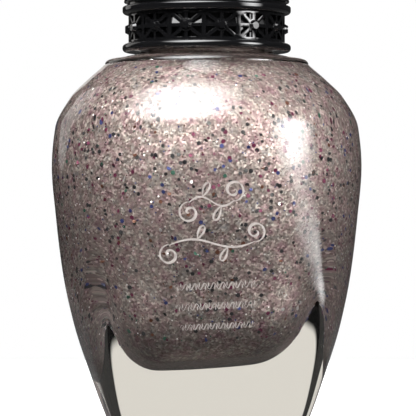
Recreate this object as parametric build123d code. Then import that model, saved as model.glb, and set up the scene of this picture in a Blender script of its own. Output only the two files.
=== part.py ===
"""Nail polish bottle: a tapered square glass bottle with a round shoulder, its lacquer, two mixing balls
and a base label, closed by a screw cap that carries the brush.

Millimetres, +Z up. The origin is the centre of the base, on the surface that the bottle stands on. The cap is
screwed home. The thread is right-handed, so the cap turns by a positive angle about +Z to unscrew.
"""

from build123d import *
import math
import os

# ---- glass bottle ------------------------------------------------------------------------------------
# Outside of the body: height, half width, radius of the bowed sides, radius of the corners between them.
BODY_SECTIONS = [
    (0.0, 8.5, 90.0, 1.6),
    (4.6, 10.85, 80.0, 1.8),
    (9.3, 12.6, 65.0, 2.4),
    (14.5, 14.3, 45.0, 3.1),
    (20.0, 15.5, 25.0, 4.2),
    (26.0, 16.25, 19.3, 7.0),
    (31.5, 16.7, 17.5, 12.5),
    (35.6, 16.35, 17.2, 13.0),
    (38.9, 14.7, 15.4, 12.4),
    (40.9, 12.75, 13.3, 11.2),
    (42.3, 11.15, 11.6, 9.8),
]
# The cavity, in the same terms, from its floor up to where it closes in on the neck.
CAVITY_SECTIONS = [
    (11.85, 6.8, 40.0, 3.0),
    (14.0, 8.5, 36.0, 3.4),
    (16.2, 9.6, 28.0, 4.0),
    (19.0, 10.6, 20.0, 5.2),
    (22.0, 11.7, 17.0, 6.8),
    (26.5, 13.0, 15.5, 9.0),
    (31.5, 13.6, 14.4, 10.8),
    (35.6, 13.1, 13.8, 10.8),
    (38.6, 10.9, 11.5, 9.2),
    (40.4, 8.2, 8.6, 7.2),
]
FOOT_EDGE_RADIUS = 1.0
FLOOR_EDGE_RADIUS = 1.6
FLOOR_TILT_DEG = 4.5  # the cavity's floor rises a little towards +X
CAVITY_TOP_Z = 41.9
DISC_RADIUS = 11.0  # the rounded collar on top of the shoulder
DISC_TOP_Z = 43.0
DISC_EDGE = 0.6
CONE_TOP_Z = 43.7
NECK_ROOT_RADIUS = 6.6
NECK_RADIUS = 5.75
NECK_BORE = 3.6
LIP_Z = 54.4
LIP_EDGE = 0.5
PUNT_RADIUS = 6.3
PUNT_DEPTH = 0.7
LABEL_RADIUS = 5.9
LABEL_THICKNESS = 0.15

# ---- thread: 13 mm neck, twelve turns to the inch ----------------------------------------------------
PITCH = 2.117
THREAD_START_Z = 48.6
NECK_THREAD_TURNS = 1.5
CAP_THREAD_TURNS = 1.25
THREAD_HEIGHT = 0.7
THREAD_ROOT_WIDTH = 1.3
THREAD_CREST_WIDTH = 0.5
THREAD_CLEARANCE = 0.2
THREAD_EMBED = 0.25

# ---- lacquer and mixing balls ------------------------------------------------------------------------
LACQUER_TOP_Z = 43.4
CHANNEL_RADIUS = 2.35  # the room that the brush takes in the lacquer
BALL_RADIUS = 1.6
BALL_CENTRES = [(4.6, 1.2), (-3.2, -3.9)]
BALL_CLEARANCE = 0.02

# ---- cap: pieces stacked on a core tube --------------------------------------------------------------
CAP_BOTTOM_Z = 43.8
RING_RADIUS = 9.1
RING_HEIGHT = 0.9
RING_EDGE = 0.42
BAND_HEIGHT = 3.15
CORE_RADIUS = 7.8
CORE_BORE = 7.2
CORE_TOP_Z = 58.0
FIT_GAP = 0.03
INNER_CAP_RADIUS = CORE_BORE - FIT_GAP
INNER_CAP_BOTTOM_Z = 44.0
LINER_THICKNESS = 1.1
LINER_RADIUS = 6.3
LINER_HOLE = 2.3
CEILING_THICKNESS = 1.2
SOCKET_RADIUS = 3.3
SOCKET_BORE = 2.2
SOCKET_TOP_Z = 61.0
SLEEVE_FOOT_RADIUS = 8.95
SLEEVE_WAIST_RADIUS = 8.2
SLEEVE_HEAD_RADIUS = 8.75
SLEEVE_BORE = 7.2
SLEEVE_TOP_Z = 70.6
GROOVE_RADIUS = 8.6
GROOVE_HEIGHT = 0.35
CROWN_TENON_LENGTH = 5.0
CROWN_WALL = 0.9
DOME_RADIUS = 8.7
DOME_STEP = 0.5
CAP_TOP_Z = 79.2
BUTTON_RADIUS = 2.6
BUTTON_HEIGHT = 0.45

# ---- star collars: openwork rings of square panels, each with an eight-rayed star --------------------
PANELS = 14
LATTICE_RADIUS = 8.45
LATTICE_THICKNESS = 0.3
LIP_HEIGHT = 0.3
RAY_WIDTH = 0.36
PILLAR_WIDTH = 0.4
BOSS_FOOT_RADIUS = 0.72
BOSS_HEAD_RADIUS = 0.38
BOSS_REACH = 8.8  # from the axis to the flat top of a boss
PLATE_LEAN_DEG = 16.0  # the plates in the cells beside a star's upper half lean back
PLATE_SINK = 0.03  # their outer corners end this far inside the faces of the pillars
FIRST_PANEL_DEG = -107.3

# ---- brush -------------------------------------------------------------------------------------------
STEM_HEAD_TOP_Z = 60.6
STEM_HEAD_RADIUS = 2.15
STEM_SHOULDER_Z = 50.0
STEM_RADIUS = 1.9
STEM_TIP_RADIUS = 1.6
STEM_TIP_Z = 27.0
TUFT_ROOT_RADIUS = 1.2
TUFT_SOCKET_DEPTH = 3.6
TUFT_BELLY_RADIUS = 1.75
TUFT_BELLY_Z = 17.5
TUFT_TIP_Z = 14.0
STAPLE_SIZE = (2.4, 0.4, 1.4)

BAND_BOTTOM_Z = CAP_BOTTOM_Z + RING_HEIGHT
BAND_TOP_Z = BAND_BOTTOM_Z + BAND_HEIGHT
UPPER_BAND_BOTTOM_Z = SLEEVE_TOP_Z
UPPER_BAND_TOP_Z = UPPER_BAND_BOTTOM_Z + BAND_HEIGHT
LINER_TOP_Z = LIP_Z + LINER_THICKNESS
INNER_CAP_TOP_Z = LINER_TOP_Z + CEILING_THICKNESS


def rod(radius, low, high):
    """A round bar on the Z axis."""
    return Pos(0, 0, low) * Cylinder(radius, high - low, align=(Align.CENTER, Align.CENTER, Align.MIN))


def tube(inner, outer, low, high):
    """A round tube on the Z axis."""
    return rod(outer, low, high) - rod(inner, low - 1, high + 1)


def taper(low_radius, high_radius, low, high):
    """A cone frustum on the Z axis."""
    cone = Cone(low_radius, high_radius, high - low, align=(Align.CENTER, Align.CENTER, Align.MIN))
    return Pos(0, 0, low) * cone


def rounded_disc(radius, low, high, edge):
    """A round bar whose two rims are rounded."""
    bar = rod(radius, low, high)
    return fillet(bar.edges().filter_by(GeomType.CIRCLE), edge)


def turned(*lines):
    """A solid of revolution about Z from a closed outline drawn in X (radius) and Z (height)."""
    return revolve(Plane.XZ * make_face(lines), Axis.Z)


def bowed_square(half, side, corner):
    """A square whose sides bow outwards with radius side, rounded at its corners with radius corner."""
    back = side - half
    corner_centre = (math.sqrt(2 * (side - corner) ** 2 - back**2) - back) / 2
    turn = math.atan2(corner_centre, corner_centre + back)
    join = (side * math.cos(turn) - back, side * math.sin(turn))
    corner_middle = corner_centre + corner * math.sqrt(0.5)
    side_arc = ThreePointArc((join[0], -join[1]), (half, 0), join)
    corner_arc = ThreePointArc(join, (corner_middle, corner_middle), (join[1], join[0]))
    arcs = (side_arc, corner_arc)
    return make_face([Rot(0, 0, quarter) * arc for quarter in (0, 90, 180, 270) for arc in arcs])


def bowed_loft(sections, foot_tilt=0.0):
    """A smooth body through bowed squares. The lowest one may rise towards +X."""
    tilts = [foot_tilt] + [0.0] * (len(sections) - 1)
    squares = []
    for tilt, (z, half, side, corner) in zip(tilts, sections):
        squares.append(Pos(0, 0, z) * Rot(0, -tilt, 0) * bowed_square(half, side, corner))
    return loft(squares)


def thread(root_radius, outward, start_z, turns):
    """A right-handed trapezoid thread on a cylinder of root_radius, its middle starting at start_z on +X."""
    side = 1 if outward else -1
    foot = root_radius - side * THREAD_EMBED
    crest = root_radius + side * THREAD_HEIGHT
    slope = (THREAD_ROOT_WIDTH - THREAD_CREST_WIDTH) / 2 / THREAD_HEIGHT
    foot_half = THREAD_ROOT_WIDTH / 2 + slope * THREAD_EMBED
    profile = Polyline(
        (foot, start_z - foot_half),
        (crest, start_z - THREAD_CREST_WIDTH / 2),
        (crest, start_z + THREAD_CREST_WIDTH / 2),
        (foot, start_z + foot_half),
        close=True,
    )
    path = Pos(0, 0, start_z) * Helix(PITCH, PITCH * turns, root_radius)
    return sweep(Plane.XZ * make_face(profile), path, is_frenet=True)


def glass_bottle():
    """Thick-based glass bottle with a threaded neck."""
    body = bowed_loft(BODY_SECTIONS)
    body = fillet(body.faces().sort_by(Axis.Z)[0].edges(), FOOT_EDGE_RADIUS)
    disc = rod(DISC_RADIUS, BODY_SECTIONS[-1][0], DISC_TOP_Z)
    disc = fillet(disc.edges().filter_by(GeomType.CIRCLE).sort_by(Axis.Z)[-1], DISC_EDGE)
    cone = taper(DISC_RADIUS - DISC_EDGE, NECK_ROOT_RADIUS, DISC_TOP_Z, CONE_TOP_Z)
    neck = rod(NECK_RADIUS, DISC_TOP_Z, LIP_Z)
    neck = fillet(neck.edges().filter_by(GeomType.CIRCLE).sort_by(Axis.Z)[-1], LIP_EDGE)
    screw = thread(NECK_RADIUS, True, THREAD_START_Z, NECK_THREAD_TURNS)
    outside = body + disc + cone + neck + screw
    punt = rod(PUNT_RADIUS, -1, PUNT_DEPTH)
    return outside - cavity() - rod(NECK_BORE, CAVITY_TOP_Z - 0.5, LIP_Z + 1) - punt


def cavity():
    """The room for the lacquer, up to the foot of the neck's bore."""
    room = bowed_loft(CAVITY_SECTIONS, FLOOR_TILT_DEG)
    room = fillet(room.faces().sort_by(Axis.Z)[0].edges(), FLOOR_EDGE_RADIUS)
    top_z, top_half = CAVITY_SECTIONS[-1][:2]
    return room + taper(top_half - 0.05, NECK_BORE, top_z, CAVITY_TOP_Z)


def ball_places():
    """Centres of the two mixing balls, lying on the cavity's floor."""
    tilt = math.radians(FLOOR_TILT_DEG)
    z = CAVITY_SECTIONS[0][0] + (BALL_RADIUS + BALL_CLEARANCE) / math.cos(tilt)
    return [Pos(x, y, z + x * math.tan(tilt)) for x, y in BALL_CENTRES]


def lacquer():
    """The lacquer fills the cavity up into the neck's bore, round the brush and the balls."""
    fill = cavity() + rod(NECK_BORE, CAVITY_TOP_Z - 0.5, LACQUER_TOP_Z)
    fill -= rod(CHANNEL_RADIUS, TUFT_TIP_Z - 0.3, LACQUER_TOP_Z + 1)
    for place in ball_places():
        fill -= place * Sphere(BALL_RADIUS + BALL_CLEARANCE)
    return fill


def mixing_balls():
    """Two loose steel balls that stir the lacquer when the bottle is shaken."""
    return Compound([place * Sphere(BALL_RADIUS) for place in ball_places()])


def base_label():
    """Round label stuck up inside the recess of the base."""
    return rod(LABEL_RADIUS, PUNT_DEPTH - LABEL_THICKNESS, PUNT_DEPTH)


def inner_cap():
    """Threaded closure with the brush's socket on top."""
    root = NECK_RADIUS + THREAD_HEIGHT + THREAD_CLEARANCE
    skirt = tube(root, INNER_CAP_RADIUS, INNER_CAP_BOTTOM_Z, LINER_TOP_Z)
    ceiling = tube(SOCKET_BORE, INNER_CAP_RADIUS, LINER_TOP_Z, INNER_CAP_TOP_Z)
    socket = tube(SOCKET_BORE, SOCKET_RADIUS, INNER_CAP_TOP_Z, SOCKET_TOP_Z)
    screw = thread(root, False, THREAD_START_Z - PITCH / 2, CAP_THREAD_TURNS)
    return skirt + ceiling + socket + screw


def cap_core():
    """Black tube with the bottom ring. The inner cap is pressed into it, and the outer pieces stack on it."""
    ring = rounded_disc(RING_RADIUS, CAP_BOTTOM_Z, BAND_BOTTOM_Z, RING_EDGE)
    core = rod(CORE_RADIUS, CAP_BOTTOM_Z, CORE_TOP_Z)
    return ring + core - rod(CORE_BORE, CAP_BOTTOM_Z - 1, CORE_TOP_Z + 1)


def leaning_plates(half_width, slope):
    """Two plates on +X that fill the cells beside a star's upper half, below its diagonals, and lean back."""
    near, far = BOSS_FOOT_RADIUS / 2, half_width - PILLAR_WIDTH / 4
    back, rise = CORE_RADIUS + FIT_GAP, (BAND_HEIGHT - LIP_HEIGHT) / 2
    foot = math.sqrt((LATTICE_RADIUS - PLATE_SINK) ** 2 - far**2)
    head = foot - rise * math.tan(math.radians(PLATE_LEAN_DEG))
    section = Polyline((back, 0), (foot, 0), (head, rise), (back, rise), close=True)
    bar = extrude(Plane.XZ * make_face(section), half_width, both=True)
    plates = []
    for side in (-1, 1):
        corners = [(near, 0), (far, 0), (far, slope * far), (near, slope * near)]
        cell = Polyline(*[(side * y, z) for y, z in corners], close=True)
        plates.append(bar & extrude(Plane.YZ * make_face(cell), LATTICE_RADIUS))
    return plates


def star_collar(low):
    """Openwork ring between two of the cap's rings."""
    high = low + BAND_HEIGHT
    ring = tube(LATTICE_RADIUS - LATTICE_THICKNESS, LATTICE_RADIUS, low, high)
    half_width = math.pi * (LATTICE_RADIUS - LATTICE_THICKNESS / 2) / PANELS
    half_height = BAND_HEIGHT / 2
    slope = (half_height - LIP_HEIGHT) / (half_width - PILLAR_WIDTH / 2)
    diagonal = math.degrees(math.atan(slope))
    cells = Rectangle(2 * half_width - PILLAR_WIDTH, 2 * (half_height - LIP_HEIGHT))
    for angle in (0, 90, diagonal, -diagonal):
        cells -= Rot(0, 0, angle) * Rectangle(4 * half_width, RAY_WIDTH)
    cells -= Circle(BOSS_FOOT_RADIUS)
    plates = leaning_plates(half_width, slope)
    boss_height = BOSS_REACH - LATTICE_RADIUS + LATTICE_THICKNESS
    upright = (Align.CENTER, Align.CENTER, Align.MIN)
    boss = Cone(BOSS_FOOT_RADIUS, BOSS_HEAD_RADIUS, boss_height, align=upright)
    for k in range(PANELS):
        panel = Rot(0, 0, FIRST_PANEL_DEG + k * 360 / PANELS) * Pos(0, 0, low + half_height)
        side = panel * Pos(LATTICE_RADIUS, 0, 0) * Plane.YZ.location
        ring -= side * Pos(0, 0, -2 * LATTICE_THICKNESS) * extrude(cells, 3 * LATTICE_THICKNESS)
        ring += side * Pos(0, 0, -LATTICE_THICKNESS) * boss
        for plate in plates:
            ring += panel * plate
    for start in (low, high - LIP_HEIGHT):
        ring += tube(CORE_RADIUS + FIT_GAP, LATTICE_RADIUS - LATTICE_THICKNESS / 2, start, start + LIP_HEIGHT)
    return ring


def shaft_sleeve():
    """Waisted grip with a ring at each end, sitting on the lower collar."""
    foot_z = BAND_TOP_Z + RING_HEIGHT + GROOVE_HEIGHT
    head_z = SLEEVE_TOP_Z - RING_HEIGHT - GROOVE_HEIGHT
    lower_ring = rounded_disc(RING_RADIUS, BAND_TOP_Z, BAND_TOP_Z + RING_HEIGHT, RING_EDGE)
    upper_ring = rounded_disc(RING_RADIUS, SLEEVE_TOP_Z - RING_HEIGHT, SLEEVE_TOP_Z, RING_EDGE)
    spine = rod(GROOVE_RADIUS, BAND_TOP_Z, SLEEVE_TOP_Z)
    middle = (SLEEVE_WAIST_RADIUS, (foot_z + head_z) / 2)
    waist = ThreePointArc((SLEEVE_FOOT_RADIUS, foot_z), middle, (SLEEVE_HEAD_RADIUS, head_z))
    sides = Polyline((SLEEVE_HEAD_RADIUS, head_z), (0, head_z), (0, foot_z), (SLEEVE_FOOT_RADIUS, foot_z))
    grip = turned(waist, sides)
    spine -= tube(0.1, 2 * RING_RADIUS, foot_z, head_z)
    outside = lower_ring + upper_ring + spine + grip
    return outside - rod(CORE_RADIUS + FIT_GAP, BAND_TOP_Z - 1, CORE_TOP_Z + FIT_GAP) - rod(
        SLEEVE_BORE, CORE_TOP_Z, SLEEVE_TOP_Z + 1
    )


def crown():
    """Domed top, pressed into the sleeve, that holds the upper collar down."""
    ring_top = UPPER_BAND_TOP_Z + RING_HEIGHT
    tenon = rod(SLEEVE_BORE - FIT_GAP, SLEEVE_TOP_Z - CROWN_TENON_LENGTH, UPPER_BAND_BOTTOM_Z)
    hub = rod(CORE_RADIUS, UPPER_BAND_BOTTOM_Z, UPPER_BAND_TOP_Z)
    ring = rounded_disc(RING_RADIUS, UPPER_BAND_TOP_Z, ring_top, RING_EDGE)
    step = rod(GROOVE_RADIUS, UPPER_BAND_TOP_Z, ring_top + DOME_STEP)
    low, rise = ring_top + DOME_STEP, CAP_TOP_Z - BUTTON_HEIGHT - ring_top - DOME_STEP
    sphere = (DOME_RADIUS**2 + rise**2) / (2 * rise)
    middle_angle = math.asin(DOME_RADIUS / sphere) / 2
    middle = (sphere * math.sin(middle_angle), low + rise - sphere * (1 - math.cos(middle_angle)))
    arc = ThreePointArc((DOME_RADIUS, low), middle, (0, low + rise))
    dome = turned(arc, Polyline((0, low + rise), (0, low), (DOME_RADIUS, low)))
    button = rod(BUTTON_RADIUS, low, CAP_TOP_Z)
    button = fillet(button.edges().filter_by(GeomType.CIRCLE).sort_by(Axis.Z)[-1], BUTTON_HEIGHT / 2)
    hollow = rod(SLEEVE_BORE - FIT_GAP - CROWN_WALL, SLEEVE_TOP_Z - CROWN_TENON_LENGTH - 1, UPPER_BAND_TOP_Z)
    return tenon + hub + ring + step + dome + button - hollow


def cap_liner():
    """Sealing washer on the glass lip, round the stem."""
    return tube(LINER_HOLE, LINER_RADIUS, LIP_Z, LINER_TOP_Z)


def brush_stem():
    """Brush rod: a head for the cap's socket, a shoulder and a tapered shank, bored for the bristles."""
    head = rod(STEM_HEAD_RADIUS, STEM_SHOULDER_Z, STEM_HEAD_TOP_Z)
    shank = taper(STEM_TIP_RADIUS, STEM_RADIUS, STEM_TIP_Z, STEM_SHOULDER_Z)
    return head + shank - rod(TUFT_ROOT_RADIUS, STEM_TIP_Z - 1, STEM_TIP_Z + TUFT_SOCKET_DEPTH) - staple()


def staple():
    """Flat metal anchor driven across the stem's bore."""
    width, thickness, height = STAPLE_SIZE
    return Pos(0, 0, STEM_TIP_Z + TUFT_SOCKET_DEPTH - height / 2) * Box(width, thickness, height)


def bristle_tuft():
    """The bristles as one soft body, folded over the staple and swelling towards a rounded tip."""
    top_z = STEM_TIP_Z + TUFT_SOCKET_DEPTH
    side = Spline((TUFT_ROOT_RADIUS, STEM_TIP_Z), (TUFT_BELLY_RADIUS, TUFT_BELLY_Z), (0, TUFT_TIP_Z),
                  tangents=((0, -1), (-1, 0)))
    back = Polyline((0, TUFT_TIP_Z), (0, top_z), (TUFT_ROOT_RADIUS, top_z), (TUFT_ROOT_RADIUS, STEM_TIP_Z))
    return turned(side, back) - staple()


PARTS = {
    "glass_bottle": glass_bottle,
    "lacquer": lacquer,
    "mixing_balls": mixing_balls,
    "base_label": base_label,
    "inner_cap": inner_cap,
    "cap_core": cap_core,
    "lower_star_collar": lambda: star_collar(BAND_BOTTOM_Z),
    "shaft_sleeve": shaft_sleeve,
    "upper_star_collar": lambda: star_collar(UPPER_BAND_BOTTOM_Z),
    "crown": crown,
    "cap_liner": cap_liner,
    "brush_stem": brush_stem,
    "bristle_tuft": bristle_tuft,
    "bristle_staple": staple,
}

os.makedirs("parts", exist_ok=True)
for name, make in PARTS.items():
    export_step(make(), f"parts/{name}.step")
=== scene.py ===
"""Looks for the nail polish bottle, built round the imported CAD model.

+Z is up and the printed front faces -Y. Blender works in metres. The sizes of the bottle, the cap, the print
and the brush are in millimetres, as in the CAD source, and those of the studio are in metres.
"""

import math
import random

import bmesh
import bpy
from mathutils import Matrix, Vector


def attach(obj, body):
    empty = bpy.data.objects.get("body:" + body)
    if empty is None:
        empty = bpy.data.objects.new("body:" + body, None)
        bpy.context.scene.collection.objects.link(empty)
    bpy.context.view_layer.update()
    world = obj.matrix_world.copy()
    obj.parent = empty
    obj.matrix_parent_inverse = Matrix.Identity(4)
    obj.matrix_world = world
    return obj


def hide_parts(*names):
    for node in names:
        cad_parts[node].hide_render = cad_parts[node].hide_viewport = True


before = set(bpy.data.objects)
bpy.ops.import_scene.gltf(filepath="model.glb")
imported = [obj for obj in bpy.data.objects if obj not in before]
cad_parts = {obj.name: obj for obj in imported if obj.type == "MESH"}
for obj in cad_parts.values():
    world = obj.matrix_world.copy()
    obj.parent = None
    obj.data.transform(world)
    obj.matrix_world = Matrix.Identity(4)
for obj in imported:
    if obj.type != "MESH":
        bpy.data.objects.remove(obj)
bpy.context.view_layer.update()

MM = 0.001
RING = 256  # points in a ring round the axis
CROWDING = 0.14  # radians by which the points of a ring are drawn towards the four corners
LEAST_CORNER = 0.6  # smallest radius of a ring's corners
SHARP_ANGLE = math.radians(40)

# ---- shape of the glass and of the lacquer, as in the CAD source -------------------------------
# Height, half width, radius of the bowed sides, radius of the corners between them, in millimetres.
BODY_SECTIONS = [
    (0.0, 8.5, 90.0, 1.6),
    (4.6, 10.85, 80.0, 1.8),
    (9.3, 12.6, 65.0, 2.4),
    (14.5, 14.3, 45.0, 3.1),
    (20.0, 15.5, 25.0, 4.2),
    (26.0, 16.25, 19.3, 7.0),
    (31.5, 16.7, 17.5, 12.5),
    (35.6, 16.35, 17.2, 13.0),
    (38.9, 14.7, 15.4, 12.4),
    (40.9, 12.75, 13.3, 11.2),
    (42.3, 11.15, 11.6, 9.8),
]
CAVITY_SECTIONS = [
    (11.85, 6.8, 40.0, 3.0),
    (14.0, 8.5, 36.0, 3.4),
    (16.2, 9.6, 28.0, 4.0),
    (19.0, 10.6, 20.0, 5.2),
    (22.0, 11.7, 17.0, 6.8),
    (26.5, 13.0, 15.5, 9.0),
    (31.5, 13.6, 14.4, 10.8),
    (35.6, 13.1, 13.8, 10.8),
    (38.6, 10.9, 11.5, 9.2),
    (40.4, 8.2, 8.6, 7.2),
]
FOOT_EDGE = 1.0
RECESS_HEIGHT = 0.75
# Radius and height from the roof of the recess in the base, round its edge, to the rim the bottle stands on.
RECESS_EDGE = [(6.1, 0.7), (6.3, 0.55), (6.42, 0.2), (6.6, 0.03), (6.9, 0.0)]
FLOOR_EDGE = 1.6
FLOOR_SLOPE = math.tan(math.radians(4.5))  # the cavity's floor rises towards +X
SLOPE_TOP_Z = 16.2  # and the wall is level again from here
COLLAR_RADIUS = 10.4
COLLAR_Z = 42.4
COLLAR_EDGE = 0.6
CONE = [(10.2, 43.04), (9.3, 43.2), (8.2, 43.4), (7.4, 43.55)]  # radius, height, from the collar to the neck
NECK_ROOT_Z = 44.6
NECK_ROOT_FILLET = 1.0
NECK_RADIUS = 5.75
NECK_BORE = 3.6
LIP_Z = 54.4
LIP_EDGE = 0.55
BORE_EDGE = 0.5
BORE_FOOT_Z = 43.2
# Radius, height, under the shoulder from the foot of the bore to the top of the cavity.
SHOULDER = [(3.62, 42.6), (3.75, 42.1), (4.2, 41.75), (5.2, 41.45), (6.5, 41.1)]
THREAD_START_Z = 48.6
THREAD_TURNS = 1.5
THREAD_HEIGHT = 0.7
THREAD_HALF_WIDTH = 0.65
THREAD_FLANK = 0.4
THREAD_FADE = 0.06  # turns over which the thread runs out at each end
PITCH = 2.117
FILL_Z = 43.4
# Radius, rise over FILL_Z, where the lacquer's surface creeps up the glass.
MENISCUS = [(1.2, 0.0), (2.2, 0.0), (2.8, 0.03), (3.2, 0.12), (3.45, 0.28), (3.58, 0.5)]
INTO_GLASS = 0.05  # the lacquer wets the glass, so its skin lies this far inside the wall

# ---- shape of the cap, as in the CAD source ----------------------------------------------------
CAP_BOTTOM_Z = 43.8
RING_RADIUS = 9.1
RING_HEIGHT = 0.9
RING_EDGE = 0.42
BAND_HEIGHT = 3.15
CORE_RADIUS = 7.8
CORE_BORE = 7.2
CORE_TOP_Z = 58.0
FIT_GAP = 0.03
SLEEVE_FOOT_RADIUS = 8.95
SLEEVE_WAIST_RADIUS = 8.2
SLEEVE_HEAD_RADIUS = 8.75
SLEEVE_BORE = 7.2
SLEEVE_TOP_Z = 70.6
GROOVE_RADIUS = 8.6
GROOVE_HEIGHT = 0.35
CROWN_TENON_LENGTH = 5.0
CROWN_WALL = 0.9
DOME_RADIUS = 8.7
DOME_STEP = 0.5
CAP_TOP_Z = 79.2
BUTTON_RADIUS = 2.6
BUTTON_HEIGHT = 0.45
BUTTON_EDGE = 0.2
BAND_BOTTOM_Z = CAP_BOTTOM_Z + RING_HEIGHT
BAND_TOP_Z = BAND_BOTTOM_Z + BAND_HEIGHT
UPPER_BAND_TOP_Z = SLEEVE_TOP_Z + BAND_HEIGHT


def smooth_curve(points):
    """A function through (x, y) points: cubic, with no overshoot."""
    xs = [p[0] for p in points]
    ys = [p[1] for p in points]
    steps = [(ys[i + 1] - ys[i]) / (xs[i + 1] - xs[i]) for i in range(len(xs) - 1)]
    slopes = [steps[0]]
    for before, after in zip(steps, steps[1:]):
        slopes.append(0.0 if before * after <= 0 else 2 * before * after / (before + after))
    slopes.append(steps[-1])

    def value(x):
        x = min(max(x, xs[0]), xs[-1])
        i = next((k for k in range(len(xs) - 2) if x < xs[k + 1]), len(xs) - 2)
        width = xs[i + 1] - xs[i]
        t = (x - xs[i]) / width
        return (
            (2 * t**3 - 3 * t**2 + 1) * ys[i]
            + (t**3 - 2 * t**2 + t) * width * slopes[i]
            + (3 * t**2 - 2 * t**3) * ys[i + 1]
            + (t**3 - t**2) * width * slopes[i + 1]
        )

    return value


def section_curves(sections):
    """Half width, radius of the sides and radius of the corners as smooth functions of height."""
    return [smooth_curve([(row[0], row[k]) for row in sections]) for k in (1, 2, 3)]


body_at = section_curves(BODY_SECTIONS)
cavity_at = section_curves(CAVITY_SECTIONS)


def polar_radius(half, side, corner, angle):
    """Distance from the axis to a square with bowed sides and rounded corners, in the direction of angle."""
    fold = math.fmod(abs(angle), math.pi / 2)
    fold = min(fold, math.pi / 2 - fold)
    c, s = math.cos(fold), math.sin(fold)
    back = side - half
    reach = math.sqrt(side**2 - (back * s) ** 2) - back * c
    middle = (math.sqrt(2 * (side - corner) ** 2 - back**2) - back) / 2
    if math.atan2(reach * s, reach * c + back) <= math.atan2(middle, middle + back):
        return reach
    return middle * (c + s) + math.sqrt(corner**2 - (middle * (c - s)) ** 2)


def ring_angles():
    """Angles round the axis, closer together at the four corners."""
    even = [2 * math.pi * (i + 0.5) / RING for i in range(RING)]
    return [angle + CROWDING * math.sin(4 * angle) for angle in even]


ANGLES = ring_angles()


def ring(z, radius):
    """One ring of points, in metres. radius is a number or a function of the angle, in millimetres."""
    reach = radius if callable(radius) else lambda angle: radius
    return [(reach(a) * math.cos(a) * MM, reach(a) * math.sin(a) * MM, z * MM) for a in ANGLES]


def squircle(z, curves, grow=0.0, at=None):
    """A ring on the body or the cavity, moved outwards by grow, with the shape of height at, or else of z."""
    half, side, corner = (curve(z if at is None else at) for curve in curves)
    return ring(z, lambda a: polar_radius(half + grow, side + grow, max(corner + grow, LEAST_CORNER), a))


def sloped(row):
    """A ring of the cavity, sheared to the slope of the floor, less and less towards SLOPE_TOP_Z."""
    floor_z = CAVITY_SECTIONS[0][0]
    points = []
    for x, y, z in row:
        share = min(1.0, max(0.0, (SLOPE_TOP_Z - z / MM) / (SLOPE_TOP_Z - floor_z)))
        points.append((x, y, z + FLOOR_SLOPE * x * share))
    return points


def skin(name, rings, start=None, end=None, looped=False):
    """A mesh object through rings of equal length, closed by a point at each end or looped on itself."""
    mesh = bmesh.new()
    rows = [[mesh.verts.new(p) for p in row] for row in rings]
    pairs = list(zip(rows, rows[1:]))
    if looped:
        pairs.append((rows[-1], rows[0]))
    count = len(rows[0])
    for low, high in pairs:
        for i in range(count):
            j = (i + 1) % count
            mesh.faces.new((low[i], low[j], high[j], high[i]))
    for point, row, flip in ((start, rows[0], True), (end, rows[-1], False)):
        if point is None:
            continue
        tip = mesh.verts.new(point)
        for i in range(count):
            j = (i + 1) % count
            mesh.faces.new((row[j], row[i], tip) if flip else (row[i], row[j], tip))
    return finish_mesh(name, mesh)


def finish_mesh(name, mesh):
    """Turns a bmesh into a smooth-shaded object with outward normals and crisp edges."""
    bmesh.ops.recalc_face_normals(mesh, faces=mesh.faces)
    data = bpy.data.meshes.new(name)
    mesh.to_mesh(data)
    mesh.free()
    data.shade_smooth()
    data.set_sharp_from_angle(angle=SHARP_ANGLE)
    obj = bpy.data.objects.new(name, data)
    bpy.context.scene.collection.objects.link(obj)
    return obj


def thread_bump(angle, z):
    """How far the neck's thread stands out, in millimetres, at this angle and height."""
    best = 0.0
    for turn in range(-1, math.ceil(THREAD_TURNS) + 1):
        t = angle / (2 * math.pi) + turn
        if not -THREAD_FADE < t < THREAD_TURNS + THREAD_FADE:
            continue
        fade = min(1.0, (t + THREAD_FADE) / THREAD_FADE, (THREAD_TURNS + THREAD_FADE - t) / THREAD_FADE)
        off = abs(z - THREAD_START_Z - PITCH * t)
        rise = min(1.0, max(0.0, (THREAD_HALF_WIDTH - off) / THREAD_FLANK))
        best = max(best, THREAD_HEIGHT * fade * rise * rise * (3 - 2 * rise))
    return best


def arc(cx, cy, radius, start, end, steps):
    """Points on an arc, angles in degrees."""
    angles = [math.radians(start + (end - start) * i / steps) for i in range(steps + 1)]
    return [(cx + radius * math.cos(a), cy + radius * math.sin(a)) for a in angles]


def span(low, high, steps):
    """Evenly spaced numbers, both ends included."""
    return [low + (high - low) * i / steps for i in range(steps + 1)]


# ---- glass and lacquer -------------------------------------------------------------------------
def neck_rings():
    """Over the collar and the cone, up the threaded neck, round the lip and down the bore."""
    outline = [(11.04, 42.42)] + arc(COLLAR_RADIUS, COLLAR_Z, COLLAR_EDGE, 2, 88, 8) + CONE
    outline += arc(NECK_RADIUS + NECK_ROOT_FILLET, NECK_ROOT_Z, NECK_ROOT_FILLET, -74, -180, 9)
    rows = [ring(z, r) for r, z in outline]
    for z in span(NECK_ROOT_Z + 0.3, LIP_Z - 0.6, 82):
        rows.append(ring(z, lambda a, z=z: NECK_RADIUS + thread_bump(a % (2 * math.pi), z)))
    lip = arc(NECK_RADIUS - LIP_EDGE, LIP_Z - LIP_EDGE, LIP_EDGE, 5, 90, 6)
    lip += arc(NECK_BORE + BORE_EDGE, LIP_Z - BORE_EDGE, BORE_EDGE, 90, 180, 6)
    rows += [ring(z, r) for r, z in lip]
    rows += [ring(z, NECK_BORE) for z in span(LIP_Z - 1.0, BORE_FOOT_Z, 12)]
    return rows


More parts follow.
